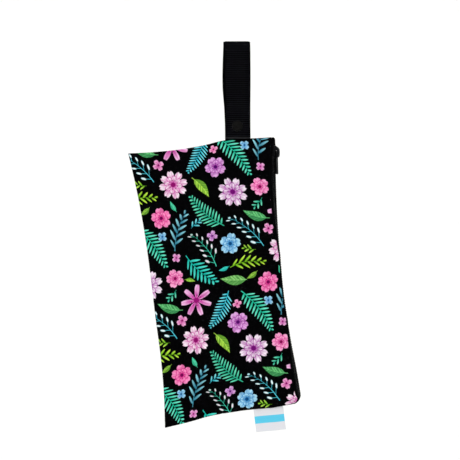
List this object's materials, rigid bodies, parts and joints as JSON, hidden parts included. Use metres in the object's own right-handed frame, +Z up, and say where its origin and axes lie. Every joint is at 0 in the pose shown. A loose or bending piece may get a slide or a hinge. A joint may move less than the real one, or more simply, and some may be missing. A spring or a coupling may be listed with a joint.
{
  "type": "zipped wet bag clutch",
  "caption": "Slim soft zipped pouch of printed laminated cloth, hanging by a snapped webbing loop, for carrying damp or small things.",
  "frame": {"origin": "inside top of the strap's loop, where it hangs on a bar", "axes": "+Z up, -Y out of the front panel, +X to the right, towards the zip"},
  "size_m": [0.1973, 0.0304, 0.4451],
  "materials": {
    "printed_cloth": "smooth printed polyester knit, laminated inside",
    "zip_tape": "fine woven tape",
    "zip_coil": "extruded nylon monofilament",
    "zip_metal": "die-cast, black lacquer",
    "webbing": "ribbed woven webbing",
    "snap_plastic": "moulded, slightly glossy",
    "label_ribbon": "satin ribbon"
  },
  "bodies": {
    "pouch": {"bag_front": "printed_cloth", "bag_back": "printed_cloth", "zip_tape_front": "zip_tape", "zip_tape_back": "zip_tape", "zip_coil_front": "zip_coil", "zip_coil_back": "zip_coil", "zip_slider": "zip_metal", "strap": "webbing", "snap_socket": "snap_plastic", "snap_stud": "snap_plastic", "label": "label_ribbon"},
    "pull": {"zip_pull": "zip_metal"}
  },
  "joints": [
    {"name": "pull_swing", "type": "hinge", "parent": "pouch", "child": "pull", "pos_m": [0.04495, 0.00129, -0.12352], "axis": [-0.3625, -0.932, -0.0077], "range_deg": [0, 165]}
  ]
}
